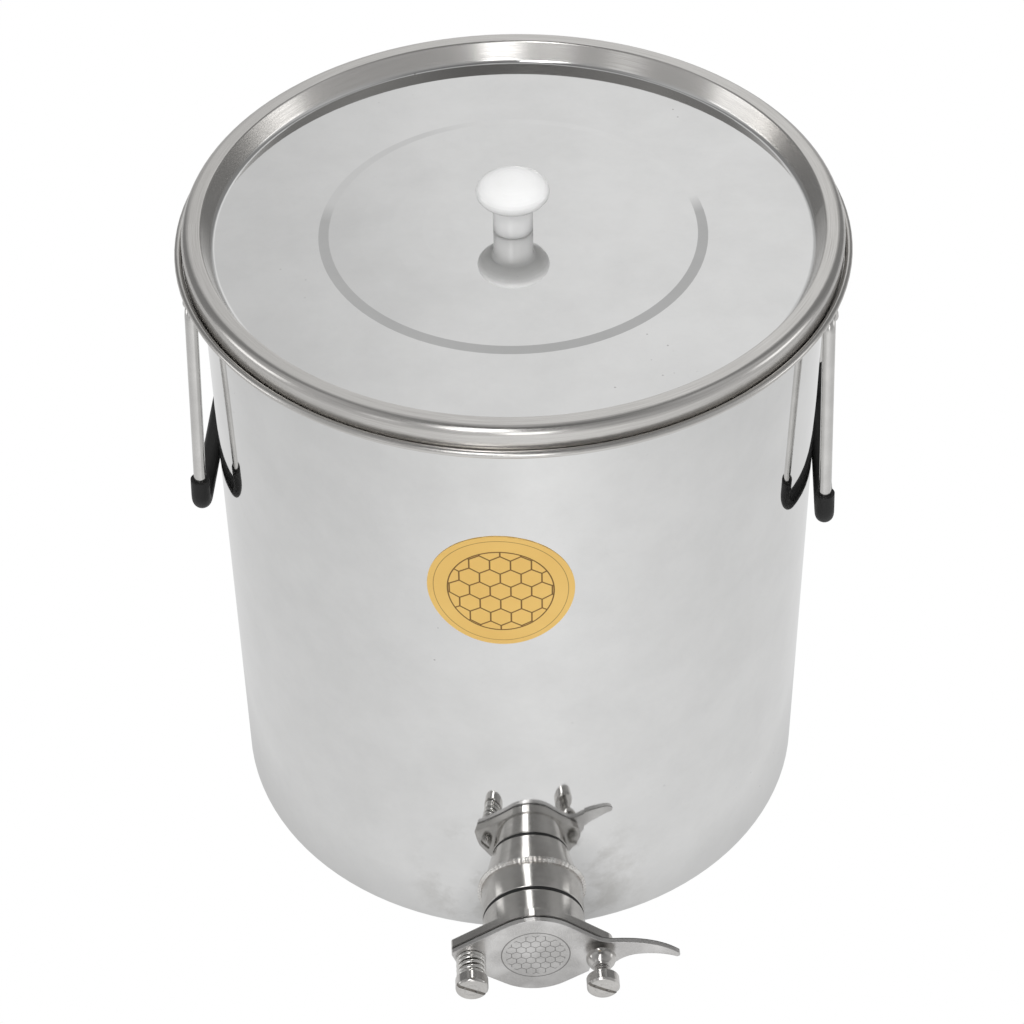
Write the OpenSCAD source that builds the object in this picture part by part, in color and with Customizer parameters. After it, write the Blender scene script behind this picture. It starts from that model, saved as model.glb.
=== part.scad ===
// Stainless honey settling tank with a lift-off lid, two bail handles and a swing-gate honey valve.
// The tank stands on z = 0 with its axis on Z. The outlet points along -Y.

/* [Tank] */
// Outside radius of the tank wall
wall_r = 160; // [140:1:200]
// Sheet thickness of the wall and the bottom
sheet_t = 0.8; // [0.6:0.1:1.2]
// Height of the flange's top face, where the lid rests
seat_h = 362; // [280:1:500]
// Outside radius of the bottom corner
corner_r = 9; // [6:0.5:12]
// Width of the flat foot turned in from the bottom corner
foot_w = 3; // [2:0.5:8]
// Reach of the rim flange beyond the wall, to the outside of the rolled edge
flange_w = 12.15; // [11:0.05:16]
// Outside diameter of the rolled edge
bead_d = 3.8; // [3.4:0.1:5]
// Bend radius between the wall and the rim flange
neck_bend_r = 3; // [2:0.5:5]

/* [Lid] */
// Sheet thickness of the lid
lid_t = 0.7; // [0.5:0.1:1]
// Clearance between the lid's skirt and the rolled edge
lid_clear = 0.35; // [0.3:0.05:1]
// Height of the lid's top ring above the flange
lid_rise = 14.1; // [11:0.1:20]
// Width of the lid's rim channel at its top
channel_w = 9.9; // [8:0.1:14]
// Rounding of the lid's outer shoulder
shoulder_r = 4.4; // [2:0.1:6]
// Depth of the lid's panel below the top ring
well_depth = 11; // [6:0.5:12]
// Inward run of the sloping wall that joins the panel and the top ring
slope_run = 4.7; // [2:0.1:8]
// Bend radius between the panel and the sloping wall
well_bend_r = 2.6; // [1.5:0.1:4]
// Bend radius between the sloping wall and the top ring
edge_bend_r = 1.3; // [1:0.1:2]
// Outer radius of the pressed ring in the panel
ring_r = 99.1; // [60:0.1:125]
// Width of the pressed ring
ring_w = 5.2; // [3:0.1:12]
// Height that the pressed ring lifts the middle of the panel
ring_rise = 0.9; // [0.4:0.1:1.5]
// Crown of the middle of the panel
panel_crown = 0.8; // [0.2:0.1:1.5]

/* [Lid knob] */
// Diameter of the knob's head
knob_d = 37.4; // [30:0.1:45]
// Thickness of the knob's head
knob_head_h = 16; // [12:0.5:20]
// Diameter of the knob's neck
knob_neck_d = 20.4; // [15:0.1:24]
// Height of the knob above the panel
knob_h = 31; // [24:0.1:38]
// Thread diameter of the knob's screw
knob_screw_d = 5; // [4:0.5:6]
// Depth of the screw hole in the knob
knob_hole_h = 14; // [10:0.5:18]

/* [Outlet] */
// Height of the outlet's axis above the base
outlet_z = 34.3; // [34:0.1:60]
// Outside diameter of the outlet socket and the valve's collar
socket_d = 55.6; // [54:0.1:60]
// Bore of the socket, at the flanks of its thread
socket_bore_d = 47.4; // [46:0.1:50]
// Length of the socket beyond the tank wall
socket_l = 18; // [14:0.5:30]
// Width of the weld bead around the socket
weld_w = 2; // [1.5:0.1:3]
// Height of the weld bead where it meets the socket
weld_h = 1.6; // [1:0.1:3]
// Thickness of the gasket between the socket and the valve
gasket_t = 1.9; // [1:0.1:3]

/* [Valve body] */
// Bore through the valve
bore_d = 38; // [34:0.5:40]
// Length of the collar behind the fixed plate
collar_l = 13.9; // [10:0.1:20]
// Thickness of the fixed plate
plate_t = 5.4; // [4:0.1:8]
// Length of the threaded spigot behind the collar
spigot_l = 15; // [10:0.5:17]
// Diameter of the round middle of the plates
disc_d = 57.2; // [56:0.1:62]
// Distance from the valve's axis to each screw
screw_x = 34.8; // [34:0.1:38]
// Mean diameter of the seal in the fixed plate
seal_d = 45; // [43:0.5:46]
// Width of the seal
seal_w = 2.6; // [2:0.1:3]

/* [Gate] */
// Thickness of the gate
gate_t = 3; // [2.5:0.1:4]
// Running gap between the fixed plate and the gate
gate_gap = 0.6; // [0.3:0.05:1]
// Radius at the lock screw that the gate's lower edge leads to
gate_lobe_r = 9.5; // [8:0.1:11]
// Depth of the gate's nose beside its open slot, below the screws' line
nose_low = 13.8; // [12:0.1:15]
// Reach of the lever beyond the lock screw
lever_l = 42.9; // [35:0.1:60]
// Height of the lever's top edge above the screws' line
lever_rise = 8; // [7:0.1:9]
// Depth of the lever's lower edge below the screws' line
lever_low = 2.4; // [1:0.1:3.5]
// Depth of the middle of the lever's tip below the screws' line
lever_fall = 4.4; // [2:0.1:7]
// Radius of the lever's round tip
lever_tip_r = 1.5; // [1:0.1:2.5]

/* [Valve screws] */
// Shank diameter of both screws
shank_d = 8; // [6:0.5:9]
// Diameter of the pivot screw's head
pivot_head_d = 17.6; // [16:0.1:19]
// Thickness of the pivot screw's head
pivot_head_h = 7.2; // [6:0.1:10]
// Distance from the gate's face to the front of the pivot screw's head
pivot_reach = 21.9; // [20:0.1:30]
// Diameter of the lock screw's head
lock_head_d = 17.5; // [16:0.1:19]
// Thickness of the lock screw's head
lock_head_h = 8; // [5:0.1:10]
// Distance from the gate's face to the front of the lock screw's head, at rest
lock_reach = 24.7; // [22:0.1:32]
// Diameter of the lock screw's neck behind its head
lock_neck_d = 7.2; // [6:0.1:8]
// Length of the screw tails behind the fixed plate
tail_l = 3.8; // [2:0.1:6]
// Width of the screwdriver slots
slot_w = 2; // [1:0.1:2.5]
// Depth of the screwdriver slots
slot_h = 2; // [1:0.1:3]
// Slope of the screwdriver slots
slot_turn = -29; // [-90:1:90]
// Mean diameter of the spring's coil
spring_d = 13.9; // [13:0.1:15]
// Wire diameter of the spring
spring_wire_d = 2.2; // [1.6:0.1:2.4]
// Number of turns in the spring
spring_turns = 4.5; // [3.5:0.5:5]
// Thickness of the washer under the spring
washer_t = 1; // [0.6:0.1:1.5]
// Diameter of the bell-shaped lock washer
lock_washer_d = 16.2; // [15:0.1:17]
// Height of the bell-shaped lock washer
lock_washer_h = 6.2; // [4:0.1:7]
// Distance between the lock washer and the gate, at rest
lock_gap = 3.3; // [3.3:0.1:4.5]

/* [Handles] */
// Turn of the handles and the badge from square with the outlet
dress_turn = -5; // [-10:0.5:10]
// Diameter of the handle rod
rod_d = 6.5; // [5:0.1:7.5]
// Distance between the middles of a handle's two legs
bail_w = 108.2; // [95:0.1:125]
// Drop from the handle's pivot to the middle of its bar
bail_drop = 133.6; // [95:0.1:150]
// Bend radius where a leg turns into its pivot pin
pin_bend_r = 5; // [4.5:0.5:8]
// Bend radius at the handle's lower corners
bail_bend_r = 10; // [8:0.5:16]
// Outside diameter of the rubber grip
grip_d = 10; // [9:0.1:12]
// Height that the grip runs up each leg, from the bar's middle
grip_up = 20; // [18:0.5:30]
// Thickness of the bracket's strap
strap_t = 1.2; // [1:0.1:1.5]
// Height of the bracket's strap
strap_h = 20; // [14:0.5:24]
// Depth of the handle's pivot below the strap's top edge
pivot_drop = 5; // [5:0.5:9]
// Thickness of the bracket's ears
ear_t = 2; // [1.5:0.1:3]
// Radius of the ears around the pivot
ear_r = 4.8; // [4.6:0.1:5]

/* [Badge] */
// Diameter of the badge
badge_d = 73; // [50:0.5:90]
// Thickness of the badge
badge_t = 0.4; // [0.3:0.05:1]
// Height of the badge's centre above the base
badge_z = 265; // [200:1:280]

/* [Fits] */
// Gap around the socket in the wall's hole
hole_clear = 0.1; // [0.05:0.05:0.3]
// Clearance between the flanks of screwed parts
thread_clear = 0.05; // [0.02:0.01:0.1]
// Radial clearance of the pivots and of the lock screw in the plate
pivot_clear = 0.07; // [0.03:0.01:0.1]
// Clearance around the lock screw in the gate's open slot
slot_clear = 0.35; // [0.3:0.05:0.6]
// Gap between the seal and the gate
seal_gap = 0.1; // [0.05:0.05:0.2]
// Clearance beside the seal in its groove
seal_clear = 0.1; // [0.05:0.05:0.2]
// Gap between a bracket's strap and the bend under the flange
strap_gap = 0.7; // [0.3:0.1:3]
// Gap between a handle's pivot pin and the bracket's strap
pin_clear = 0.9; // [0.6:0.1:2]
// Gap between a bracket's ear and the bend of the handle rod
ear_gap = 0.3; // [0.3:0.05:1]
// Length of the pivot pin that stands past the ear
pin_over = 2.3; // [1.5:0.1:4]
// Gap between the hanging grip and the wall
hang_gap = 0.3; // [0.3:0.05:1]
// Clearance between the grip and the handle rod
grip_clear = 0.03; // [0.02:0.01:0.1]
// Glue line under the badge
glue_t = 0.05; // [0.02:0.01:0.2]

/* [Hidden] */

steel = "#c8c8c6";
dark_steel = "#a9a8a5";
black_rubber = "#1c1c1c";
white_plastic = "#f4f4f2";
gold = "#e3b355";
round_fn = 128;
small_fn = 48;
arc_step = 6;
over = 1;

// Tank
wall_in_r = wall_r - sheet_t;
rim_r = wall_r + flange_w;
bead_r = bead_d / 2;
foot_in_r = wall_r - corner_r - foot_w;

// Lid, whose upper surface is drawn and given its thickness below
skirt_r = rim_r - bead_d - lid_clear;
lid_top_z = seat_h + lid_rise;
ring_in_r = skirt_r - channel_w;
well_z = lid_top_z - well_depth;
well_r = ring_in_r - slope_run;
slope_a = atan(well_depth / slope_run);
panel_z = well_z + ring_rise + panel_crown;
panel_flat_w = 4;
panel_flat_r = knob_neck_d / 2 + panel_flat_w;
knob_screw_r = knob_screw_d / 2;
knob_washer_t = 1;
knob_washer_r = 2.4 * knob_screw_r;
knob_screw_head_r = 1.85 * knob_screw_r;
knob_screw_head_h = 0.6 * knob_screw_d;

// Distances from the tank's axis to each face of the outlet and the valve
outlet_r = socket_d / 2;
gasket_y = wall_r + socket_l;
collar_y = gasket_y + gasket_t;
plate_y = collar_y + collar_l;
plate_front_y = plate_y + plate_t;
gate_y = plate_front_y + gate_gap;
gate_front_y = gate_y + gate_t;
spring_y = gate_front_y + washer_t;
pivot_front_y = gate_front_y + pivot_reach;
pivot_head_y = pivot_front_y - pivot_head_h;
lock_front_y = gate_front_y + lock_reach;
lock_head_y = lock_front_y - lock_head_h;
lock_washer_y = gate_front_y + lock_gap;
shoulder_clear = 0.05;
lock_shoulder_y = lock_washer_y + lock_washer_h + shoulder_clear;
tail_y = plate_y - tail_l;
shank_r = shank_d / 2;
shoulder_w = 1;
lock_shoulder_r = shank_r + shoulder_w;
tail_edge = 0.6;
disc_r = disc_d / 2;
seal_h = 2.5;
seal_front_y = gate_y - seal_gap;

// Outline of the plates, as circles that a rounded line runs around
lobe_pivot_w = 4.6;
lobe_lock_w = 3;
lobe_pivot_r = shank_r + lobe_pivot_w;
lobe_lock_r = shank_r + lobe_lock_w;
corner_nose_r = 2;
corner_out = 8.2;
corner_up = 3.2;
plate_circles = [[[screw_x, 0], lobe_lock_r],
                 [[0, 0], disc_r],
                 [[-screw_x - corner_out, corner_up], corner_nose_r],
                 [[-screw_x, 0], lobe_pivot_r],
                 [[0, 0], disc_r]];

// Handles
rod_r = rod_d / 2;
grip_r = grip_d / 2;
bail_half = bail_w / 2;
ear_y = bail_half - pin_bend_r - ear_gap - ear_t;
pin_end_y = ear_y - pin_over;
strap_r = wall_r + strap_t;
pivot_x = sqrt(pow(strap_r, 2) - pow(pin_end_y, 2)) + pin_clear + rod_r;
strap_top_z = seat_h - sheet_t - neck_bend_r - strap_gap;
pivot_z = strap_top_z - pivot_drop;
hang_a = asin((wall_r + hang_gap + grip_r - pivot_x) / bail_drop);

// Points of an arc about a centre
function arc(centre, r, a0, a1) =
    let (n = max(2, ceil(abs(a1 - a0) / arc_step)))
    [for (i = [0:n]) let (a = a0 + (a1 - a0) * i / n) centre + r * [cos(a), sin(a)]];

function unit(v) = v / norm(v);
function left_of(v) = [-v[1], v[0]];

// Offset at point i of a path, as a vector of unit distance to the path's left
function miter(path, i) =
    let (last = len(path) - 1,
         a = i == 0 ? unit(path[1] - path[0]) : unit(path[i] - path[i - 1]),
         b = i == last ? a : unit(path[i + 1] - path[i]),
         m = left_of(unit(a + b)))
    m / (m * left_of(a));

// Closed outline of sheet metal of thickness t, on the left of a path for a positive t
function sheet(path, t) =
    concat(path, [for (i = [len(path) - 1:-1:0]) path[i] + t * miter(path, i)]);

// Direction of the outward normal where a line touches circle a and then circle b
function touch_angle(a, b) =
    let (d = b[0] - a[0])
    atan2(d[1], d[0]) - acos((a[1] - b[1]) / norm(d));

// Rounded outline around circles that are listed anticlockwise
function around(circles) =
    let (n = len(circles))
    [for (i = [0:n - 1])
        let (c = circles[i],
             a0 = touch_angle(circles[(i + n - 1) % n], c),
             a1 = touch_angle(c, circles[(i + 1) % n]))
        each arc(c[0], c[1], a0, a1 < a0 ? a1 + 360 : a1)];

// Points of a curve from p to r that leans towards q
function lean(p, q, r) =
    [for (i = [0:12]) let (t = i / 12) (1 - t) * (1 - t) * p + 2 * t * (1 - t) * q + t * t * r];

// Turned part about the Z axis, from its outline in radius and height
module turned(outline, fn = small_fn) {
    rotate_extrude($fn = fn) polygon(outline);
}

// Places what is drawn in the outlet's own frame: X across, Y up, Z outward from the tank's axis
module at_outlet() {
    translate([0, 0, outlet_z]) rotate([90, 0, 0]) children();
}

// Ring between two radii and two distances along Z
module ring(r_in, r_out, z0, z1, fn = small_fn) {
    turned([[r_in, z0], [r_out, z0], [r_out, z1], [r_in, z1]], fn);
}

// Ring on the outside of the tank wall
module wall_band(r_in, r_out, z0, z1) {
    ring(r_in, r_out, z0, z1, round_fn);
}

// Wall: rolled foot, straight wall, flange that seats the lid, and rolled edge
module tank_wall() {
    path = concat([[foot_in_r, 0]],
                  arc([wall_r - corner_r, corner_r], corner_r, -90, 0),
                  arc([wall_r + neck_bend_r, seat_h - sheet_t - neck_bend_r], neck_bend_r, 180, 90),
                  arc([rim_r - bead_r, seat_h - sheet_t + bead_r], bead_r, -90, 180));
    color(steel) difference() {
        turned(sheet(path, sheet_t), round_fn);
        at_outlet() translate([0, 0, wall_r / 2])
            cylinder(r = outlet_r + hole_clear, h = wall_r, $fn = small_fn);
    }
}

// Bottom disc, welded inside the turned-in foot
module tank_bottom() {
    color(steel) cylinder(r = foot_in_r, h = sheet_t, $fn = round_fn);
}

// Thin round badge that follows the wall
module badge() {
    color(gold) rotate([0, 0, dress_turn]) intersection() {
        translate([0, 0, badge_z]) rotate([90, 0, 0])
            cylinder(r = badge_d / 2, h = 2 * wall_r, $fn = round_fn);
        wall_band(wall_r + glue_t, wall_r + glue_t + badge_t, badge_z - badge_d, badge_z + badge_d);
    }
}

// Socket with an inside thread, let into the wall and flush with its inner face
module outlet_socket() {
    inner_y = sqrt(pow(wall_in_r, 2) - pow(outlet_r, 2)) - over;
    edge = 0.4;
    bore_r = socket_bore_d / 2;
    color(steel) difference() {
        at_outlet() turned([[bore_r, inner_y], [outlet_r, inner_y], [outlet_r, gasket_y - edge],
                            [outlet_r - edge, gasket_y], [bore_r + edge, gasket_y],
                            [bore_r, gasket_y - edge]]);
        translate([0, 0, -over]) cylinder(r = wall_in_r, h = 3 * outlet_z, $fn = round_fn);
    }
}

// One step of the weld bead around the socket, following the curve of the wall
module weld_step(width, height) {
    intersection() {
        at_outlet() ring(outlet_r, outlet_r + width, wall_r - 3 * weld_w, wall_r + height);
        wall_band(wall_r, wall_r + height, 0, 3 * outlet_z);
    }
}

// Weld bead between the wall and the socket
module socket_weld() {
    color(steel) union() {
        weld_step(weld_w, weld_h / 2);
        weld_step(weld_w / 2, weld_h);
    }
}

// Flat gasket between the socket and the valve's collar
module socket_gasket() {
    inset = 0.2;
    color(black_rubber) at_outlet()
        ring(socket_bore_d / 2 + thread_clear, outlet_r - inset, gasket_y, collar_y);
}

// Screwdriver slot across a head or a tail, cut from z in one direction
module driver_slot(width, z0, z1) {
    rotate([0, 0, slot_turn]) translate([-width, -slot_w / 2, z0]) cube([2 * width, slot_w, z1 - z0]);
}

// Valve body: threaded spigot, collar and fixed plate in one piece, with a groove for the seal
module valve_body() {
    edge = 0.6;
    groove_in = (seal_d - seal_w) / 2 - seal_clear;
    groove_out = (seal_d + seal_w) / 2 + seal_clear;
    spigot_r = socket_bore_d / 2 - thread_clear;
    color(steel) at_outlet() difference() {
        union() {
            turned([[0, collar_y - spigot_l], [spigot_r - edge, collar_y - spigot_l],
                    [spigot_r, collar_y - spigot_l + edge], [spigot_r, collar_y],
                    [outlet_r - edge, collar_y], [outlet_r, collar_y + edge],
                    [outlet_r, plate_y + edge], [0, plate_y + edge]]);
            translate([0, 0, plate_y]) linear_extrude(plate_t) polygon(around(plate_circles));
        }
        translate([0, 0, collar_y - spigot_l - over])
            cylinder(d = bore_d, h = spigot_l + collar_l + plate_t + 2 * over, $fn = small_fn);
        ring(groove_in, groove_out, seal_front_y - seal_h, plate_front_y + over);
        translate([-screw_x, 0, plate_y - over])
            cylinder(r = shank_r + thread_clear, h = plate_t + 2 * over, $fn = small_fn);
        translate([screw_x, 0, plate_y - over])
            cylinder(r = shank_r + pivot_clear, h = plate_t + 2 * over, $fn = small_fn);
    }
}

// Square-cut seal ring that the gate slides on
module gate_seal() {
    color(black_rubber) at_outlet()
        ring((seal_d - seal_w) / 2, (seal_d + seal_w) / 2, seal_front_y - seal_h, seal_front_y);
}

// Nose below the lock screw, with the lever that bends over from the plate's edge down to a round tip
module lever_outline() {
    lock_lobe = plate_circles[0];
    disc = plate_circles[1];
    low_lobe = [lock_lobe[0], gate_lobe_r];
    // Point at a share f of the straight edge from a lobe to the disc, whose outward normal is at angle a
    on_edge = function (lobe, a, f)
        (1 - f) * (lobe[0] + lobe[1] * [cos(a), sin(a)]) + f * (disc[0] + disc[1] * [cos(a), sin(a)]);
    top_a = touch_angle(lock_lobe, disc);
    low_a = touch_angle(disc, low_lobe);
    foot_v = on_edge(lock_lobe, top_a, 0)[1];
    bend_f = (lever_rise - foot_v) / (on_edge(lock_lobe, top_a, 1)[1] - foot_v);
    // Shares of the two straight edges at which the lever's bend starts and the nose ends
    bend_start = 0.38;
    nose_end = 0.27;
    // Places beyond the lock screw: the crest in mm, the waist and the top's bend as shares of the lever
    crest_x = 8.2;
    waist_share = 0.49;
    droop_share = 0.7;
    nose_x = 4.6;
    crest = [screw_x + crest_x, lever_rise];
    tip = [screw_x + lever_l - lever_tip_r, -lever_fall];
    tip_top_a = 48;
    tip_low_a = -100;
    waist = [screw_x + waist_share * lever_l, -lever_low];
    waist_slope = 0.08;
    waist_pull = lever_l / 4 * [1, waist_slope];
    nose = [screw_x + nose_x, -nose_low];
    polygon(concat([disc[0]],
                   lean(on_edge(lock_lobe, top_a, bend_start), on_edge(lock_lobe, top_a, bend_f), crest),
                   lean(crest, [screw_x + droop_share * lever_l, lever_rise],
                        tip + lever_tip_r * [cos(tip_top_a), sin(tip_top_a)]),
                   arc(tip, lever_tip_r, tip_top_a - arc_step, tip_low_a + arc_step),
                   lean(tip + lever_tip_r * [cos(tip_low_a), sin(tip_low_a)], waist + waist_pull, waist),
                   lean(waist, waist - waist_pull, nose),
                   [on_edge(low_lobe, low_a, nose_end), on_edge(low_lobe, low_a, 1)]));
}

// Slot that lets the lock screw out as the gate lifts: an arc about the pivot, open below
module escape_slot() {
    reach = 2 * screw_x;
    half = shank_r + slot_clear;
    drop_a = -20;
    translate([screw_x, 0]) circle(r = half, $fn = small_fn);
    translate([-screw_x, 0]) intersection() {
        difference() {
            circle(r = reach + half, $fn = 4 * small_fn);
            circle(r = reach - half, $fn = 4 * small_fn);
        }
        polygon([[0, 0], [2 * reach, 0], 2 * reach * [cos(drop_a), sin(drop_a)]]);
    }
}

// Swinging gate with its lever, a pivot hole and the open slot for the lock screw
module gate_plate() {
    color(steel) at_outlet() difference() {
        union() {
            translate([0, 0, gate_y]) linear_extrude(gate_t) polygon(around(plate_circles));
            translate([0, 0, gate_y]) linear_extrude(gate_t) lever_outline();
        }
        translate([0, 0, gate_y - over]) linear_extrude(gate_t + 2 * over) escape_slot();
        translate([-screw_x, 0, gate_y - over])
            cylinder(r = shank_r + pivot_clear, h = gate_t + 2 * over, $fn = small_fn);
    }
}

// Slotted screw that carries the spring and the gate, screwed through the fixed plate
module pivot_screw() {
    head_r = pivot_head_d / 2;
    edge = 1.8;
    back_edge = 0.5;
    color(steel) at_outlet() translate([-screw_x, 0, 0]) difference() {
        turned([[0, tail_y], [shank_r - tail_edge, tail_y], [shank_r, tail_y + tail_edge],
                [shank_r, pivot_head_y], [head_r - back_edge, pivot_head_y],
                [head_r, pivot_head_y + back_edge],
                each arc([head_r - edge, pivot_front_y - edge], edge, 0, 90), [0, pivot_front_y]]);
        driver_slot(head_r + over, pivot_front_y - slot_h, pivot_front_y + over);
        driver_slot(shank_r + over, tail_y - over, tail_y + slot_h);
    }
}

// Washer that the spring presses on the gate
module pivot_washer() {
    color(steel) at_outlet() translate([-screw_x, 0, 0])
        ring(shank_r + pivot_clear, spring_d / 2 + spring_wire_d / 2, gate_front_y, spring_y);
}

// Coil spring between the washer and the screw's head, with its end turns closed
module pivot_spring() {
    wire_r = spring_wire_d / 2;
    sides = 10;
    per_turn = 18;
    rings = ceil(spring_turns * per_turn);
    seat = 0.03;
    low = spring_y + wire_r + seat;
    high = pivot_head_y - wire_r - seat;
    // Share of the climb made after a share f of the turns, level over the first and last half turn
    level = 0.5 / spring_turns;
    climb = function (f) max(0, min(1, (f - level) / (1 - 2 * level)));
    points = [for (i = [0:rings], j = [0:sides - 1])
        let (f = i / rings, a = 360 * spring_turns * f, b = 360 * j / sides,
             r = spring_d / 2 + wire_r * cos(b))
        [r * cos(a), r * sin(a), low + (high - low) * climb(f) + wire_r * sin(b)]];
    skin = [for (i = [0:rings - 1], j = [0:sides - 1])
        let (k = (j + 1) % sides, p = i * sides, q = p + sides)
        each [[p + j, q + j, q + k], [p + j, q + k, p + k]]];
    first = [for (j = [0:sides - 1]) j];
    last = [for (j = [sides - 1:-1:0]) rings * sides + j];
    color(dark_steel) at_outlet() translate([-screw_x, 0, 0])
        polyhedron(points, concat(skin, [first], [last]), convexity = 8);
}

// Bell-shaped washer on the lock screw, which clamps the gate when the screw is tightened
module lock_washer() {
    base_r = lock_washer_d / 2;
    hole_r = shank_r + pivot_clear;
    rim_h = 0.6;
    rim_y = lock_washer_y + rim_h;
    top_y = lock_washer_y + lock_washer_h;
    color(steel) at_outlet() translate([screw_x, 0, 0])
        turned(concat([[hole_r, lock_washer_y], [base_r, lock_washer_y]],
                      lean([base_r, rim_y], [base_r, (rim_y + top_y) / 2], [lock_shoulder_r, top_y]),
                      [[hole_r, top_y]]));
}

// Slotted lock screw, screwed through the fixed plate, with a shoulder and a neck above its washer
module lock_screw() {
    head_r = lock_head_d / 2;
    neck_r = lock_neck_d / 2;
    edge = 1;
    crown = 0.5;
    shoulder_h = 2;
    fillet = 1;
    color(steel) at_outlet() translate([screw_x, 0, 0]) difference() {
        turned([[0, tail_y], [shank_r - tail_edge, tail_y], [shank_r, tail_y + tail_edge],
                [shank_r, lock_shoulder_y], [lock_shoulder_r, lock_shoulder_y],
                [neck_r, lock_shoulder_y + shoulder_h], [neck_r, lock_head_y - fillet],
                [neck_r + fillet, lock_head_y], [head_r - edge, lock_head_y], [head_r, lock_head_y + edge],
                [head_r, lock_front_y - crown - edge], [head_r - edge, lock_front_y - crown],
                [head_r / 2, lock_front_y - crown / 4], [0, lock_front_y]]);
        driver_slot(head_r + over, lock_front_y - slot_h, lock_front_y + over);
        driver_slot(shank_r + over, tail_y - over, tail_y + slot_h);
    }
}

// Turns what is drawn for the +X side to the side wanted
module at_side(turn) {
    rotate([0, 0, dress_turn + turn]) children();
}

// One ear of a bracket, on the +Y side
module ear() {
    back_x = sqrt(pow(wall_r, 2) - pow(ear_y + ear_t, 2)) - over;
    translate([0, ear_y + ear_t, pivot_z]) rotate([90, 0, 0]) linear_extrude(ear_t) difference() {
        union() {
            translate([pivot_x, 0]) circle(r = ear_r, $fn = small_fn);
            translate([back_x, -ear_r]) square([pivot_x - back_x, 2 * ear_r]);
        }
        translate([pivot_x, 0]) circle(r = rod_r + pivot_clear, $fn = small_fn);
    }
}

// Bracket: strap welded to the wall under the flange, with an ear at each end
module bracket(turn) {
    half = ear_y + ear_t;
    color(steel) at_side(turn) difference() {
        union() {
            intersection() {
                wall_band(wall_r - over, strap_r, strap_top_z - strap_h, strap_top_z);
                translate([0, -half, 0]) cube([2 * wall_r, 2 * half, 2 * seat_h]);
            }
            ear();
            mirror([0, 1, 0]) ear();
        }
        translate([0, 0, strap_top_z - 2 * strap_h]) cylinder(r = wall_r, h = 3 * strap_h, $fn = round_fn);
    }
}

// Quarter bend of round rod in the YZ plane about a centre, from angle a to a + 90
module rod_bend(y, z, bend_r, r, a) {
    translate([0, y, z]) rotate([90, 0, 90]) rotate([0, 0, a])
        rotate_extrude(angle = 90, $fn = round_fn) translate([bend_r, 0]) circle(r = r, $fn = small_fn);
}

// Straight stretch of round rod along Y
module rod_across(y0, y1, z, r) {
    translate([0, y0, z]) rotate([-90, 0, 0]) cylinder(r = r, h = y1 - y0, $fn = small_fn);
}

// Lower part of a handle: bar, corners and the legs up to a height above the bar's middle
module bail_foot(r, up) {
    corner_y = bail_half - bail_bend_r;
    corner_z = -bail_drop + bail_bend_r;
    rod_across(-corner_y, corner_y, -bail_drop, r);
    for (side = [0, 1]) mirror([0, side, 0]) {
        rod_bend(corner_y, corner_z, bail_bend_r, r, -90);
        translate([0, bail_half, corner_z]) cylinder(r = r, h = up - bail_bend_r, $fn = small_fn);
    }
}

// Places a handle on its pivot, hanging so that its grip leans near the wall
module at_pivot(turn) {
    at_side(turn) translate([pivot_x, 0, pivot_z]) rotate([0, -hang_a, 0]) children();
}

// Bent rod handle with a pivot pin turned in at the top of each leg
module bail(turn) {
    color(steel) at_pivot(turn) union() {
        bail_foot(rod_r, bail_drop - pin_bend_r);
        for (side = [0, 1]) mirror([0, side, 0]) {
            rod_bend(bail_half - pin_bend_r, -pin_bend_r, pin_bend_r, rod_r, 0);
            rod_across(pin_end_y, bail_half - pin_bend_r, 0, rod_r);
        }
    }
}

// Rubber sleeve over the handle's bar and corners
module grip(turn) {
    color(black_rubber) at_pivot(turn) difference() {
        bail_foot(grip_r, grip_up);
        bail_foot(rod_r + grip_clear, grip_up + over);
    }
}

// Lid: pressed panel with a raised middle, sloping wall, top ring and skirt
module lid_shell() {
    mid_r = ring_r - ring_w;
    mid_z = well_z + ring_rise;
    crown_n = 5;
    crown = [for (i = [0:crown_n])
        let (r = panel_flat_r + (mid_r - panel_flat_r) * i / crown_n,
             f = (r - panel_flat_r) / (mid_r - panel_flat_r))
        [r, mid_z + panel_crown * (1 - f * f)]];
    well_back = well_bend_r * tan(slope_a / 2);
    edge_back = edge_bend_r * tan(slope_a / 2);
    path = concat([[knob_screw_r + thread_clear, panel_z]], crown, [[ring_r, well_z]],
                  arc([well_r - well_back, well_z + well_bend_r], well_bend_r, -90, slope_a - 90),
                  arc([ring_in_r + edge_back, lid_top_z - edge_bend_r], edge_bend_r, 90 + slope_a, 90),
                  arc([skirt_r - shoulder_r, lid_top_z - shoulder_r], shoulder_r, 90, 0),
                  [[skirt_r, seat_h]]);
    color(steel) turned(sheet(path, -lid_t), round_fn);
}

// White knob: round neck and a domed head, with a blind hole for the screw
module lid_knob() {
    head_r = knob_d / 2;
    neck_r = knob_neck_d / 2;
    rim_z = knob_h - knob_head_h / 2;
    foot_edge = 0.6;
    // The neck flares out to meet the underside of the head
    flare_w = 2;
    flare_h = 3;
    flare_z = rim_z - 0.72 * knob_head_h / 2;
    dome = [for (a = [-50:10:90]) [head_r * cos(a), rim_z + knob_head_h / 2 * sin(a)]];
    color(white_plastic) translate([0, 0, panel_z]) difference() {
        turned(concat([[0, 0], [neck_r - foot_edge, 0], [neck_r, foot_edge]],
                      lean([neck_r, flare_z - flare_h], [neck_r, flare_z], [neck_r + flare_w, flare_z]),
                      dome), 2 * small_fn);
        translate([0, 0, -over])
            cylinder(r = knob_screw_r + thread_clear, h = knob_hole_h + over, $fn = small_fn);
    }
}

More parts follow.
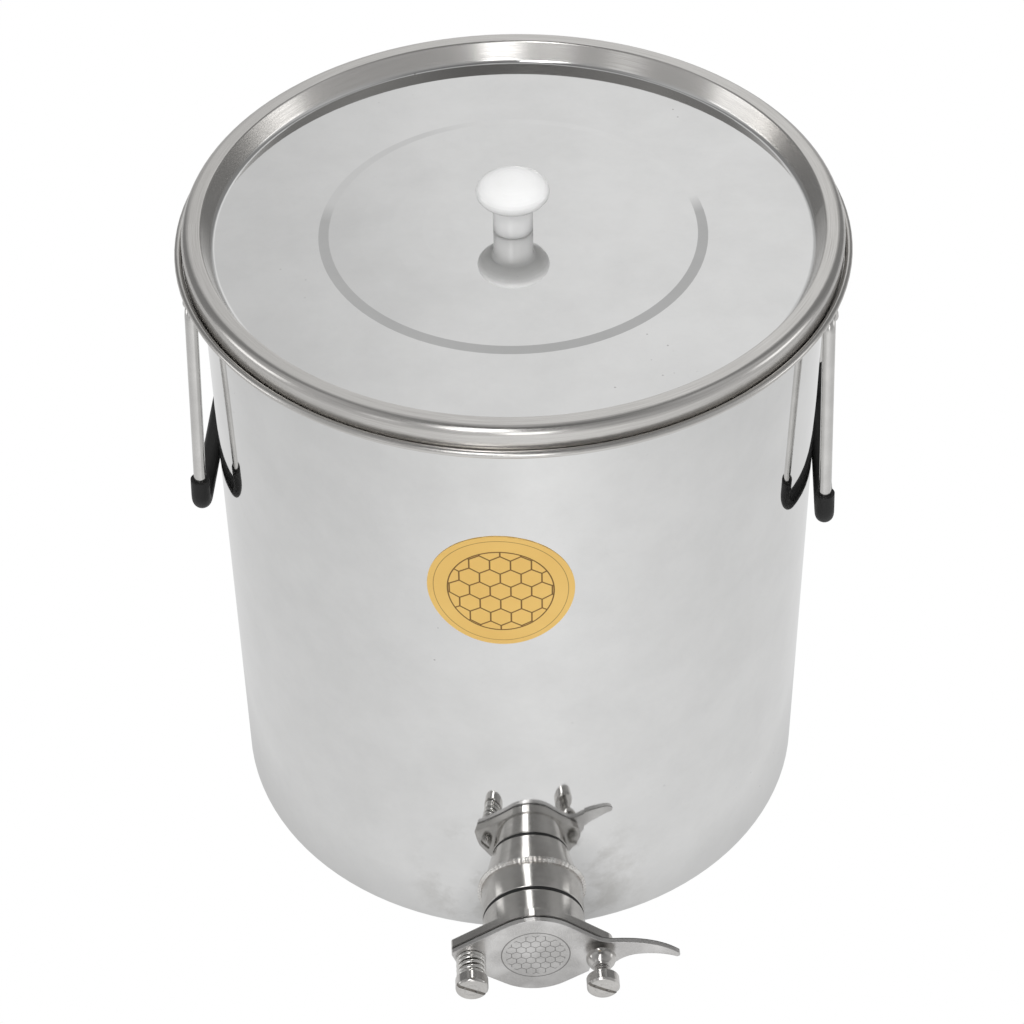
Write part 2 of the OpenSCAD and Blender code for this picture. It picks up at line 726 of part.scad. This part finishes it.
// Washer under the panel
module knob_washer() {
    top_z = panel_z - lid_t;
    color(dark_steel) ring(knob_screw_r + thread_clear, knob_washer_r, top_z - knob_washer_t, top_z);
}

// Pan-head screw that holds the knob from under the lid
module knob_screw() {
    head_z = panel_z - lid_t - knob_washer_t;
    r = knob_screw_head_r;
    h = knob_screw_head_h;
    cross_w = 0.9;
    color(dark_steel) difference() {
        turned([[0, head_z - h], [0.6 * r, head_z - h], [0.9 * r, head_z - 0.7 * h], [r, head_z - 0.3 * h],
                [r, head_z], [knob_screw_r, head_z], [knob_screw_r, panel_z + knob_hole_h - over],
                [0, panel_z + knob_hole_h - over]]);
        for (a = [0, 90]) rotate([0, 0, a])
            translate([-r / 2, -cross_w / 2, head_z - h - over]) cube([r, cross_w, h / 2 + over]);
    }
}

tank_wall();
tank_bottom();
badge();
outlet_socket();
socket_weld();
socket_gasket();
valve_body();
gate_seal();
pivot_screw();
pivot_spring();
pivot_washer();
gate_plate();
lock_washer();
lock_screw();
bracket(180);  // bracket_left
bracket(0);  // bracket_right
bail(180);  // bail_left
bail(0);  // bail_right
grip(180);  // grip_left
grip(0);  // grip_right
lid_shell();
lid_knob();
knob_screw();
knob_washer();
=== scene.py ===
import math

import bpy
from mathutils import Matrix, Vector


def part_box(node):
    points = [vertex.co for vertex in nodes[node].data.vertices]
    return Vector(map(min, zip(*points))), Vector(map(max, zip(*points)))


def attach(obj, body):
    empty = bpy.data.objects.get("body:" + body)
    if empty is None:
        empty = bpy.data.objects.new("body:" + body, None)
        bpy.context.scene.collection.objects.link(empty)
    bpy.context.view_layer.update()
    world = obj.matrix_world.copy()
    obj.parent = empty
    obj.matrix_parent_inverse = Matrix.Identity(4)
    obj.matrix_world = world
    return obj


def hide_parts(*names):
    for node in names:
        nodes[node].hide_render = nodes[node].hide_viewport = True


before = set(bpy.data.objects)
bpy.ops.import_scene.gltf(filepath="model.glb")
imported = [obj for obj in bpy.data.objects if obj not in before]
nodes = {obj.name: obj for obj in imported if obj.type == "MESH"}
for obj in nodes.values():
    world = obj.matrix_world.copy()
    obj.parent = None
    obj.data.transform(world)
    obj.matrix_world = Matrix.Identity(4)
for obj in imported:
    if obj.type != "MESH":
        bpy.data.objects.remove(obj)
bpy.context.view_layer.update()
MM = 0.001


# Places on the object, in metres

def axis_of(node):
    """X and Z of a piece's middle, where its axis along Y passes."""
    low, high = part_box(node)
    return (low.x + high.x) / 2, (low.z + high.z) / 2


valve_axis = axis_of("gate_seal")
pivot_axis = axis_of("pivot_screw")
lock_axis = axis_of("lock_screw")
plate_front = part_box("valve_body")[0].y
gate_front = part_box("gate_plate")[0].y
gate_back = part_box("gate_plate")[1].y
socket_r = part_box("outlet_socket")[1].x
lid_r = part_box("lid_shell")[1].x
seat_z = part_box("lid_shell")[0].z
badge_z = axis_of("badge")[1]
badge_r = -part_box("badge")[0].y
# The badge's turn round the wall, from the outlet
BADGE_TURN = math.radians(-5)
# A radius just within the wall's inner face
INSIDE_R = 0.159


# Materials

CLEAN_STEEL = (0.83, 0.83, 0.825)
CLOUDED_STEEL = (0.775, 0.775, 0.77)
SCREW_STEEL = (0.66, 0.645, 0.625)
# Painted shade: a near-black line on the faces beside the narrow gap between the valve's plates, and
# how wide it is
GAP_SHADE = (0.04, 0.038, 0.035)
GAP_SHADE_WIDTH = 0.4 * MM
THREAD_PITCH = 1.25 * MM
# Radii between which a screw shows its thread
THREAD_SHANK = (3.6 * MM, 4.3 * MM)


def shade(tint, share):
    return tuple(share * part for part in tint)


class Tree:
    """Short ways to add nodes to a material's or the world's node tree."""

    def __init__(self, tree, coordinate):
        self.tree = tree
        self.point = self.node("ShaderNodeTexCoord").outputs[coordinate]

    def node(self, kind, **settings):
        made = self.tree.nodes.new(kind)
        for key, value in settings.items():
            setattr(made, key, value)
        return made

    def plug(self, value, socket):
        """Links an output to a socket, or sets a plain value on it."""
        if isinstance(value, bpy.types.NodeSocket):
            self.tree.links.new(value, socket)
        else:
            socket.default_value = value

    def math(self, operation, a, b=0.0):
        made = self.node("ShaderNodeMath", operation=operation)
        self.plug(a, made.inputs[0])
        self.plug(b, made.inputs[1])
        return made.outputs[0]

    def plus(self, a, b):
        return self.math("ADD", a, b)

    def minus(self, a, b):
        return self.math("SUBTRACT", a, b)

    def times(self, first, *others):
        """Product of two or more values."""
        for other in others:
            first = self.math("MULTIPLY", first, other)
        return first

    def parts(self, vector):
        """X, Y and Z of a vector."""
        made = self.node("ShaderNodeSeparateXYZ")
        self.plug(vector, made.inputs[0])
        return made.outputs

    def facing(self):
        """X, Y and Z of the direction that the surface faces, apart from bump and smoothing."""
        return self.parts(self.node("ShaderNodeNewGeometry").outputs["True Normal"])

    def join(self, x, y, z):
        made = self.node("ShaderNodeCombineXYZ")
        for value, socket in zip((x, y, z), made.inputs):
            self.plug(value, socket)
        return made.outputs[0]

    def noise(self, scale, detail=3.0, where=None, rough=0.5):
        made = self.node("ShaderNodeTexNoise")
        self.plug(where or self.point, made.inputs["Vector"])
        made.inputs["Scale"].default_value = scale
        made.inputs["Detail"].default_value = detail
        made.inputs["Roughness"].default_value = rough
        return made.outputs["Fac"]

    def span(self, value, low, high, to_low=0.0, to_high=1.0):
        """Maps value from low..high to to_low..to_high, held at both ends."""
        made = self.node("ShaderNodeMapRange")
        for socket, number in zip(made.inputs, (value, low, high, to_low, to_high)):
            self.plug(number, socket)
        return made.outputs[0]

    def window(self, value, low, high, soft):
        """1 where value is from low to high, falling to 0 over `soft` outside."""
        rise = self.span(value, low - soft, low)
        return self.times(rise, self.span(value, high, high + soft, 1.0, 0.0))

    def reach(self, x, y):
        """Distance from an axis, for the two coordinates across it."""
        return self.math("SQRT", self.plus(self.times(x, x), self.times(y, y)))

    def bearing(self, x, y):
        """Angle round an axis, for the two coordinates across it."""
        return self.math("ARCTAN2", y, x)

    def blend(self, share, first, second):
        """Mix of two colours by a share from 0 to 1."""
        made = self.node("ShaderNodeMix", data_type="RGBA")
        self.plug(share, made.inputs["Factor"])
        for key, colour in (("A", first), ("B", second)):
            socket = next(s for s in made.inputs if s.name == key and s.type == "RGBA")
            self.plug((*colour, 1) if isinstance(colour, tuple) else colour, socket)
        return next(s for s in made.outputs if s.type == "RGBA")


class Shader(Tree):
    """A material with a Principled shader."""

    def __init__(self, name, colour, metallic, roughness):
        self.material = bpy.data.materials.new(name)
        self.material.use_nodes = True
        super().__init__(self.material.node_tree, "Object")
        self.bsdf = self.tree.nodes["Principled BSDF"]
        self.bsdf.inputs["Base Color"].default_value = (*colour, 1)
        self.bsdf.inputs["Metallic"].default_value = metallic
        self.bsdf.inputs["Roughness"].default_value = roughness

    def clouds(self, cloud, bright, dull):
        """Colour that drifts from one tint to another with a noise."""
        return self.blend(self.span(cloud, 0.35, 0.7), bright, dull)

    def bump(self, height, depth_mm, strength, under=None):
        made = self.node("ShaderNodeBump")
        made.inputs["Strength"].default_value = strength
        made.inputs["Distance"].default_value = depth_mm * MM
        self.plug(height, made.inputs["Height"])
        if under is not None:
            self.plug(under, made.inputs["Normal"])
        return made.outputs["Normal"]

    def round_edges(self, radius_mm):
        """Normal that looks as if edges were rounded."""
        made = self.node("ShaderNodeBevel", samples=6)
        made.inputs["Radius"].default_value = radius_mm * MM
        return made.outputs["Normal"]

    def use(self, **sockets):
        """Sets or links sockets of the Principled shader, with _ for a space in a name."""
        for key, value in sockets.items():
            self.plug(value, self.bsdf.inputs[key.replace("_", " ")])
        return self.material


def specks(s):
    """1 in a few small round specks and 0 elsewhere."""
    size = 0.05
    cells = s.node("ShaderNodeTexVoronoi")
    s.plug(s.point, cells.inputs["Vector"])
    cells.inputs["Scale"].default_value = 120
    near = s.span(cells.outputs["Distance"], size, 1.6 * size, 1.0, 0.0)
    return s.times(near, s.span(s.noise(scale=9, detail=2), 0.62, 0.68))


def turned_lines(s, radius, along, angle, fine, ripple):
    """Noise in fine lines that run round an axis."""
    stretched = s.join(s.times(radius, fine), s.times(along, fine), s.times(angle, ripple))
    return s.noise(scale=1.0, detail=3, where=stretched)


def comb(s, u, v, pitch_mm, line_mm):
    """1 on the walls of a honeycomb whose cells are pitch_mm across, for coordinates in metres."""
    tall = math.sqrt(3)
    soft = 0.012
    across = s.math("DIVIDE", u, pitch_mm * MM)
    along = s.math("DIVIDE", v, pitch_mm * MM)

    def from_middle(value, shift, period):
        """Distance from the middle of the period in which the shifted value falls."""
        place = s.math("FLOORED_MODULO", s.plus(value, shift), period)
        return s.math("ABSOLUTE", s.minus(place, period / 2))

    def from_cell(shift):
        x = from_middle(across, shift, 1.0)
        y = from_middle(along, shift * tall, tall)
        slant = s.plus(s.times(x, 0.5), s.times(y, tall / 2))
        return s.math("MAXIMUM", x, slant)

    nearest = s.math("MINIMUM", from_cell(0.0), from_cell(0.5))
    edge = 0.5 - line_mm / 2 / pitch_mm
    return s.span(nearest, edge - soft, edge + soft)


def circle_line(s, radius, middle_mm, line_mm):
    """1 on a thin ring about the centre that the radius is measured from."""
    half = line_mm / 2
    return s.window(radius, (middle_mm - half) * MM, (middle_mm + half) * MM, 0.08 * MM)


def emblem(s, u, v, cell_mm, wall_mm, comb_mm, ring_mm, line_mm):
    """1 on a honeycomb out to the radius comb_mm and on a ring of the radius ring_mm around it."""
    radius = s.reach(u, v)
    within = s.span(radius, comb_mm * MM, (comb_mm + 0.3) * MM, 1.0, 0.0)
    cells = s.times(comb(s, u, v, cell_mm, wall_mm), within)
    return s.math("MAXIMUM", cells, circle_line(s, radius, ring_mm, line_mm))


def rim_satin(s, radius, z):
    """The wall is brushed where it bends out under the flange."""
    return s.span(z, seat_z - 4.8 * MM, seat_z - 3.6 * MM)


def lid_satin(s, radius, z):
    """The lid is brushed outside its panel."""
    return s.span(radius, lid_r - 14.8 * MM, lid_r - 13.6 * MM)


def weld_stain(s, x, y, z):
    """1 in cloudy patches that the weld left on the wall around the socket."""
    off = s.reach(s.minus(x, valve_axis[0]), s.minus(z, valve_axis[1]))
    in_front = s.span(y, -0.12, -0.1, 1.0, 0.0)
    near = s.times(s.window(off, socket_r - 0.8 * MM, 0.045, 0.03), in_front)
    return s.times(near, s.span(s.noise(scale=38, detail=5, rough=0.6), 0.5, 0.66))


def wall_inside(s, x, y):
    """1 on the wall's inner face, which looks towards the Z axis."""
    face = s.facing()
    outward = s.plus(s.times(x, face[0]), s.times(y, face[1]))
    return s.span(outward, -INSIDE_R, 0.009 - INSIDE_R, 1.0, 0.0)


def sheet_metal(name, satin, wave_mm, vessel=False):
    """Mirror-polished sheet with faint smears and specks. `satin` gives the share of brushed surface.
    A vessel's wall also has the weld's stain, and is left as rolled on its inside."""
    s = Shader(name, (0.8, 0.8, 0.79), 1.0, 0.03)
    x, y, z = s.parts(s.point)
    radius, angle = s.reach(x, y), s.bearing(x, y)
    brushed = satin(s, radius, z)
    upright = s.join(s.times(angle, 0.16), s.times(z, 0.3), radius)
    smear = s.noise(scale=16, detail=5, where=upright, rough=0.6)
    cloud = s.noise(scale=26, detail=6, rough=0.65)
    lines = turned_lines(s, radius, z, angle, 2600, 6)
    polished = s.clouds(cloud, CLEAN_STEEL, CLOUDED_STEEL)
    polished = s.blend(s.times(specks(s), 0.4), polished, (0.2, 0.19, 0.18))
    if vessel:
        stain = weld_stain(s, x, y, z)
        polished = s.blend(s.times(stain, 0.6), polished, (0.56, 0.55, 0.53))
        cloud = s.plus(cloud, s.times(stain, 0.5))
    worn = s.blend(s.span(lines, 0.3, 0.7), (0.73, 0.715, 0.695), (0.63, 0.615, 0.595))
    polish = s.plus(s.span(smear, 0.35, 0.75, 0.015, 0.05), s.span(cloud, 0.4, 0.75, 0.0, 0.03))
    rough = s.math("MAXIMUM", polish, s.times(brushed, s.span(lines, 0.3, 0.7, 0.17, 0.27)))
    wave = s.bump(s.noise(scale=5.5, detail=2), wave_mm, 0.25)
    hairlines = s.times(lines, s.span(brushed, 0.0, 1.0, 0.04, 1.0))
    if vessel:
        as_rolled = wall_inside(s, x, y)
        rough = s.math("MAXIMUM", rough, s.times(as_rolled, 0.36))
        s.use(Metallic=s.span(as_rolled, 0.0, 1.0, 1.0, 0.65))
    return s.use(Base_Color=s.blend(brushed, polished, worn), Roughness=rough,
                 Normal=s.bump(hairlines, 0.006, 0.5, wave))


def rolled_sheet(name):
    """Sheet as it is rolled, for the bottom, which shows only inside the tank."""
    s = Shader(name, (0.8, 0.8, 0.79), 0.65, 0.36)
    cloud = s.noise(scale=26, detail=6, rough=0.65)
    wave = s.bump(s.noise(scale=5.5, detail=2), 0.1, 0.25)
    return s.use(Base_Color=s.clouds(cloud, CLEAN_STEEL, CLOUDED_STEEL),
                 Roughness=s.span(cloud, 0.4, 0.75, 0.34, 0.4), Normal=wave)


def with_gap_shade(s, colour, y, low, high):
    """The colour with painted shade, a dark line where shade falls in a narrow gap, between two
    distances along Y on the faces beside the gap.
    """
    on_side = s.span(s.math("ABSOLUTE", s.facing()[1]), 0.4, 0.6, 1.0, 0.0)
    return s.blend(s.times(on_side, s.window(y, low, high, 0.05 * MM), 0.9), colour, GAP_SHADE)


def turned_steel(name, axis, tint=(0.62, 0.605, 0.585), round_mm=0.4, thread=False, shaded_gap=None):
    """Lathe-turned steel with fine rings round an axis along Y. The last argument is a stretch of Y
    that gets painted shade, a dark line beside a gap.
    """
    s = Shader(name, tint, 1.0, 0.16)
    x, y, z = s.parts(s.point)
    u, v = s.minus(x, axis[0]), s.minus(z, axis[1])
    radius = s.reach(u, v)
    lines = turned_lines(s, radius, y, s.bearing(u, v), 2400, 3)
    colour = s.clouds(s.noise(scale=90, detail=4), tint, shade(tint, 0.85))
    colour = s.blend(s.times(s.span(lines, 0.45, 0.75), 0.35), colour, shade(tint, 0.7))
    normal = s.bump(lines, 0.012, 0.5, s.round_edges(round_mm))
    if thread:
        turns = s.math("SINE", s.times(y, math.tau / THREAD_PITCH))
        on_shank = s.window(radius, *THREAD_SHANK, 0.1 * MM)
        normal = s.bump(s.times(turns, on_shank), 0.35, 1.0, normal)
    if shaded_gap:
        # Painted shade: a dark line on the faces beside the gap in this stretch
        colour = with_gap_shade(s, colour, y, *shaded_gap)
    return s.use(Base_Color=colour, Roughness=s.span(lines, 0.25, 0.75, 0.11, 0.24), Normal=normal)


def satin_steel(name, tint=(0.66, 0.65, 0.635), roughness=0.3, grain_mm=0.012):
    """Fine-ground steel whose grain is grain_mm deep."""
    s = Shader(name, tint, 1.0, roughness)
    grain = s.noise(scale=1100, detail=3)
    colour = s.clouds(s.noise(scale=70, detail=4), tint, shade(tint, 0.88))
    rough = s.span(grain, 0.3, 0.7, roughness - 0.06, roughness + 0.08)
    return s.use(Base_Color=colour, Roughness=rough,
                 Normal=s.bump(grain, grain_mm, 0.4, s.round_edges(0.3)))


def rod_steel(name):
    return satin_steel(name, (0.74, 0.73, 0.715), 0.16, grain_mm=0.004)


def weld_steel(name, axis):
    """Bright weld bead, rippled round an axis along Y."""
    s = Shader(name, (0.74, 0.72, 0.69), 1.0, 0.2)
    x, y, z = s.parts(s.point)
    angle = s.bearing(s.minus(x, axis[0]), s.minus(z, axis[1]))
    uneven = s.times(s.noise(scale=200, detail=2), 3)
    ripple = s.math("SINE", s.plus(s.times(angle, 72), uneven))
    tint = s.clouds(s.noise(scale=150, detail=4), (0.84, 0.83, 0.81), (0.66, 0.63, 0.6))
    rough = s.span(s.noise(scale=500, detail=3), 0.3, 0.7, 0.14, 0.3)
    return s.use(Base_Color=tint, Roughness=rough, Normal=s.bump(ripple, 0.08, 0.7, s.round_edges(1.0)))


def gate_steel(name):
    """Blasted steel with a honeycomb in a ring engraved on its front."""
    tint = (0.68, 0.67, 0.66)
    s = Shader(name, tint, 1.0, 0.34)
    x, y, z = s.parts(s.point)
    u, v = s.minus(x, valve_axis[0]), s.minus(z, valve_axis[1])
    on_front = s.span(y, gate_front + 0.1 * MM, gate_front + 0.3 * MM, 1.0, 0.0)
    cut = emblem(s, u, v, cell_mm=5.2, wall_mm=0.42, comb_mm=16.0, ring_mm=18.4, line_mm=0.55)
    cut = s.times(cut, on_front)
    grain = s.noise(scale=1900, detail=2)
    colour = s.blend(s.span(grain, 0.35, 0.65), tint, (0.57, 0.56, 0.55))
    colour = s.blend(s.span(s.noise(scale=55, detail=3), 0.45, 0.65), colour, (0.78, 0.77, 0.76))
    # Painted shade: a dark line on the edges beside the gate's back face, in the gap before the fixed
    # plate
    colour = with_gap_shade(s, colour, y, gate_back - GAP_SHADE_WIDTH, gate_back)
    colour = s.blend(s.times(cut, 0.75), colour, (0.16, 0.155, 0.15))
    normal = s.bump(cut, -0.12, 0.7, s.bump(grain, 0.016, 0.45, s.round_edges(0.8)))
    return s.use(Base_Color=colour, Roughness=s.span(grain, 0.3, 0.7, 0.26, 0.42), Normal=normal)


def rubber(name):
    tint = (0.010, 0.010, 0.010)
    s = Shader(name, tint, 0.0, 0.5)
    worn = s.noise(scale=80, detail=4)
    return s.use(Base_Color=s.blend(s.span(worn, 0.4, 0.75), tint, shade(tint, 1.9)),
                 Roughness=s.span(worn, 0.3, 0.7, 0.42, 0.6), Specular_IOR_Level=0.3,
                 Normal=s.bump(s.noise(scale=900, detail=3), 0.03, 0.5))


def white_plastic(name):
    s = Shader(name, (0.86, 0.86, 0.855), 0.0, 0.16)
    cloud = s.noise(scale=45, detail=3)
    return s.use(Base_Color=s.blend(s.span(cloud, 0.3, 0.7), (0.86, 0.86, 0.86), (0.82, 0.82, 0.815)),
                 Roughness=s.span(s.noise(scale=120, detail=4), 0.3, 0.7, 0.12, 0.2),
                 Normal=s.bump(s.noise(scale=70, detail=2), 0.05, 0.15), Specular_IOR_Level=0.35,
                 Subsurface_Weight=1.0, Subsurface_Radius=(1, 1, 1), Subsurface_Scale=0.012)


def gold_label(name):
    """Golden foil on the wall, with a line near its edge and a honeycomb in a ring in dark print."""
    s = Shader(name, (0.78, 0.50, 0.15), 0.0, 0.35)
    x, y, z = s.parts(s.point)
    round_wall = s.bearing(s.times(y, -1.0), x)
    u = s.times(s.minus(round_wall, BADGE_TURN), badge_r)
    v = s.minus(z, badge_z)
    cloud = s.noise(scale=30, detail=4)
    foil = s.blend(s.span(cloud, 0.3, 0.7), (0.82, 0.54, 0.165), (0.77, 0.49, 0.14))
    edge = s.times(circle_line(s, s.reach(u, v), 33.6, 0.35), 0.55)
    ink = emblem(s, u, v, cell_mm=10.2, wall_mm=0.75, comb_mm=26.2, ring_mm=26.4, line_mm=0.6)
    printed = s.math("MAXIMUM", edge, s.times(ink, 0.9))
    grain = s.noise(scale=1800, detail=2)
    return s.use(Base_Color=s.blend(printed, foil, (0.11, 0.045, 0.012)), Metallic=0.1,
                 Roughness=s.span(grain, 0.3, 0.7, 0.36, 0.5), Specular_IOR_Level=0.3,
                 Normal=s.bump(grain, 0.006, 0.4))


looks = {
    "tank_wall": sheet_metal("wall sheet", rim_satin, 0.1, vessel=True),
    "tank_bottom": rolled_sheet("bottom sheet"),
    "lid_shell": sheet_metal("lid sheet", lid_satin, 0.16),
    "badge": gold_label("gold label"),
    "outlet_socket": turned_steel("socket steel", valve_axis),
    "socket_weld": weld_steel("weld steel", valve_axis),
    "socket_gasket": rubber("gasket rubber"),
    "gate_seal": rubber("seal rubber"),
    # The fixed plate's front edges get painted shade beside the gap to the gate
    "valve_body": turned_steel("valve steel", valve_axis, round_mm=0.6,
                               shaded_gap=(plate_front, plate_front + GAP_SHADE_WIDTH)),
    "gate_plate": gate_steel("gate steel"),
    "pivot_screw": turned_steel("pivot screw steel", pivot_axis, SCREW_STEEL, thread=True),
    "pivot_spring": satin_steel("spring steel", (0.74, 0.73, 0.71), 0.14),
    "pivot_washer": satin_steel("washer steel"),
    "lock_screw": turned_steel("lock screw steel", lock_axis, SCREW_STEEL, thread=True),
    "lock_washer": turned_steel("lock washer steel", lock_axis, SCREW_STEEL),
    "bracket_left": satin_steel("left bracket steel"),
    "bracket_right": satin_steel("right bracket steel"),
    "bail_left": rod_steel("left rod steel"),
    "bail_right": rod_steel("right rod steel"),
    "grip_left": rubber("left grip rubber"),
    "grip_right": rubber("right grip rubber"),
    "lid_knob": white_plastic("knob plastic"),
    "knob_screw": satin_steel("knob screw steel"),
    "knob_washer": satin_steel("knob washer steel"),
}


def dress(piece, material):
    """Gives a material to the piece's own slots, without changing its mesh."""
    for slot in piece.material_slots:
        slot.link = "OBJECT"
        slot.material = material


for name, material in looks.items():
    dress(nodes[name], material)


# Pivot spring: round wire, wound as the solid spring is

def coil(name, low, high, wire_mm, turns, material):
    """Compression spring along Y inside a box, with its end turns closed."""
    wire = wire_mm / 2 * MM
    middle = (low + high) / 2
    coil_r = (high.x - low.x) / 2 - wire
    front, back = low.y + wire, high.y - wire
    per_turn = 40
    count = round(turns * per_turn)
    data = bpy.data.curves.new(name, "CURVE")
    data.dimensions = "3D"
    data.bevel_depth = wire
    data.bevel_resolution = 5
    data.use_fill_caps = True
    spline = data.splines.new("POLY")
    spline.points.add(count)
    closed = 0.5 / turns
    for i, point in enumerate(spline.points):
        share = i / count
        climb = max(0.0, min(1.0, (share - closed) / (1 - 2 * closed)))
        a = math.tau * turns * share
        point.co = (middle.x + coil_r * math.cos(a), back + (front - back) * climb,
                    middle.z + coil_r * math.sin(a), 1)
    drawn = bpy.data.objects.new(name, data)
    bpy.context.scene.collection.objects.link(drawn)
    shape = bpy.data.meshes.new_from_object(drawn.evaluated_get(bpy.context.evaluated_depsgraph_get()))
    bpy.data.objects.remove(drawn)
    shape.polygons.foreach_set("use_smooth", [True] * len(shape.polygons))
    shape.materials.append(material)
    piece = bpy.data.objects.new(name, shape)
    bpy.context.scene.collection.objects.link(piece)
    return piece


spring = coil("spring_wire", *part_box("pivot_spring"), wire_mm=2.2, turns=4.5,
              material=looks["pivot_spring"])
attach(spring, "tank")
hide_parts("pivot_spring")


# Stage

def glowing(name, strength_of):
    """Emission that lights and mirrors as `strength_of` gives, and is white for the camera."""
    material = bpy.data.materials.new(name)
    material.use_nodes = True
    material.node_tree.nodes.clear()
    s = Tree(material.node_tree, "Object")
    out = s.node("ShaderNodeOutputMaterial")
    glow = s.node("ShaderNodeEmission")
    path = s.node("ShaderNodeLightPath")
    pick = s.span(path.outputs["Is Camera Ray"], 0.0, 1.0, strength_of(s), 1.0)
    s.plug(pick, glow.inputs["Strength"])
    s.plug(glow.outputs[0], out.inputs["Surface"])
    return material


def lay_floor(width, below, material):
    """Flat square floor of the stage, whose own axes are the scene's."""
    mesh = bpy.data.meshes.new("floor")
    w = width / 2
    mesh.from_pydata([(-w, -w, 0), (w, -w, 0), (w, w, 0), (-w, w, 0)], [], [(0, 1, 2, 3)])
    mesh.materials.append(material)
    piece = bpy.data.objects.new("floor", mesh)
    bpy.context.scene.collection.objects.link(piece)
    piece.location.z = -below


def area_light(name, place, size, power):
    """Soft lamp that points at the middle of the tank, and that nothing mirrors."""
    data = bpy.data.lights.new(name, "AREA")
    data.shape = "RECTANGLE"
    data.size, data.size_y = size
    data.energy = power
    light = bpy.data.objects.new(name, data)
    bpy.context.scene.collection.objects.link(light)
    light.location = place
    light.rotation_mode = "QUATERNION"
    light.rotation_quaternion = (Vector((0, 0, 0.2)) - Vector(place)).to_track_quat("-Z", "Y")
    light.visible_glossy = False


def room(s):
    """Brightness of the surroundings: grey, darker in front and overhead, with bright panels in it."""
    x, y, z = s.parts(s.point)
    azimuth = s.times(s.math("ARCTAN2", x, y), math.degrees(1))
    elevation = s.times(s.math("ARCTAN2", z, s.reach(x, y)), math.degrees(1))
    aside = s.math("ABSOLUTE", azimuth)
    beside = s.plus(s.span(aside, 26, 34, 0.5, 0.24), s.span(aside, 66, 82, 0.0, 0.26))
    total = s.span(aside, 100, 130, beside, s.span(elevation, 25, 50, 0.42, 0.28))
    overhead = s.times(s.span(elevation, 60, 68), s.span(aside, 60, 85))
    total = s.times(total, s.span(overhead, 0.0, 1.0, 1.0, 0.5))
    behind = s.plus(s.span(azimuth, -4.5, 0, 0.14, 0.26), s.span(azimuth, 0, 5, 0.0, 0.04))
    # Each panel's turn from straight behind, its elevation, the softness of its edges and its strength
    panels = (((-14, 17.4), (4, 52), 1.5, behind),
              ((-172, -157), (30, 64), 2, 4.0),
              ((173, 178), (0, 24), 2, 2.4),
              ((-179, -176), (0, 24), 2, 2.4),
              ((-166, -158), (4, 24), 3, 0.45),
              ((-141, -132), (0, 20), 3, 0.4),
              ((82, 100), (-2, 12), 4, 1.0),
              ((-100, -80), (-2, 12), 4, 1.2))
    for turns, heights, soft, strength in panels:
        inside = s.times(s.window(azimuth, *turns, soft), s.window(elevation, *heights, soft))
        total = s.plus(total, s.times(inside, strength))
    return total


def floor_tone(s):
    """Brightness of the floor: palest in front of the tank, and shaded at its foot and by the valve."""
    x, y, z = s.parts(s.point)
    radius = s.reach(x, y)
    pale = s.span(s.math("ABSOLUTE", s.minus(x, 0.03)), 0.02, 0.75, 0.88, 0.56)
    near = s.span(radius, 0.16, 0.46, 0.88, 1.0)
    foot = s.span(radius, 0.152, 0.19, 0.78, 1.0)
    off = s.reach(s.minus(x, valve_axis[0] + 0.01), s.minus(y, plate_front + 0.015))
    shadow = s.span(off, 0.03, 0.065, 0.7, 1.0)
    return s.times(pale, near, foot, shadow)


def surround(strength_of):
    """World that lights and mirrors as `strength_of` gives, and is white for the camera."""
    world = bpy.data.worlds.new("surroundings")
    bpy.context.scene.world = world
    world.use_nodes = True
    s = Tree(world.node_tree, "Generated")
    path = s.node("ShaderNodeLightPath")
    sky = world.node_tree.nodes["Background"]
    sky.inputs["Color"].default_value = (1, 1, 1, 1)
    s.plug(s.span(path.outputs["Is Camera Ray"], 0.0, 1.0, strength_of(s), 1.0), sky.inputs["Strength"])


surround(room)
lay_floor(width=8, below=0.0006, material=glowing("floor white", floor_tone))
area_light("key", place=(-1.1, -1.6, 2.2), size=(0.9, 0.9), power=20)
area_light("fill", place=(1.5, -1.0, 1.6), size=(0.8, 1.2), power=12)
area_light("top", place=(0.2, 0.6, 2.6), size=(1.4, 1.0), power=12)


# Camera, as in the photograph: it looks down at the tank from the front

CAMERA_AT = Vector((-0.0376, -1.1335, 1.2132))
HEADING = math.radians(1.9)
PITCH = math.radians(42.592)
ROLL = -0.0139
FOCAL_PX = 2768.79
IMAGE_PX = 1024
CENTRE_PX = (517.11, 511.91)

level_ahead = Vector((math.sin(HEADING), math.cos(HEADING), 0))
forward = level_ahead * math.cos(PITCH) - Vector((0, 0, math.sin(PITCH)))
level = Vector((math.cos(HEADING), -math.sin(HEADING), 0))
above = level.cross(forward)
right = math.cos(ROLL) * level + math.sin(ROLL) * above
up = -math.sin(ROLL) * level + math.cos(ROLL) * above

camera_data = bpy.data.cameras.new("camera")
camera_data.sensor_width = 36
camera_data.lens = FOCAL_PX / IMAGE_PX * camera_data.sensor_width
camera_data.shift_x = (IMAGE_PX / 2 - CENTRE_PX[0]) / IMAGE_PX
camera_data.shift_y = (CENTRE_PX[1] - IMAGE_PX / 2) / IMAGE_PX
camera = bpy.data.objects.new("camera", camera_data)
bpy.context.scene.collection.objects.link(camera)
turn = Matrix((right, up, -forward)).transposed().to_4x4()
camera.matrix_world = Matrix.Translation(CAMERA_AT) @ turn
bpy.context.scene.camera = camera
bpy.context.scene.view_settings.view_transform = "Standard"
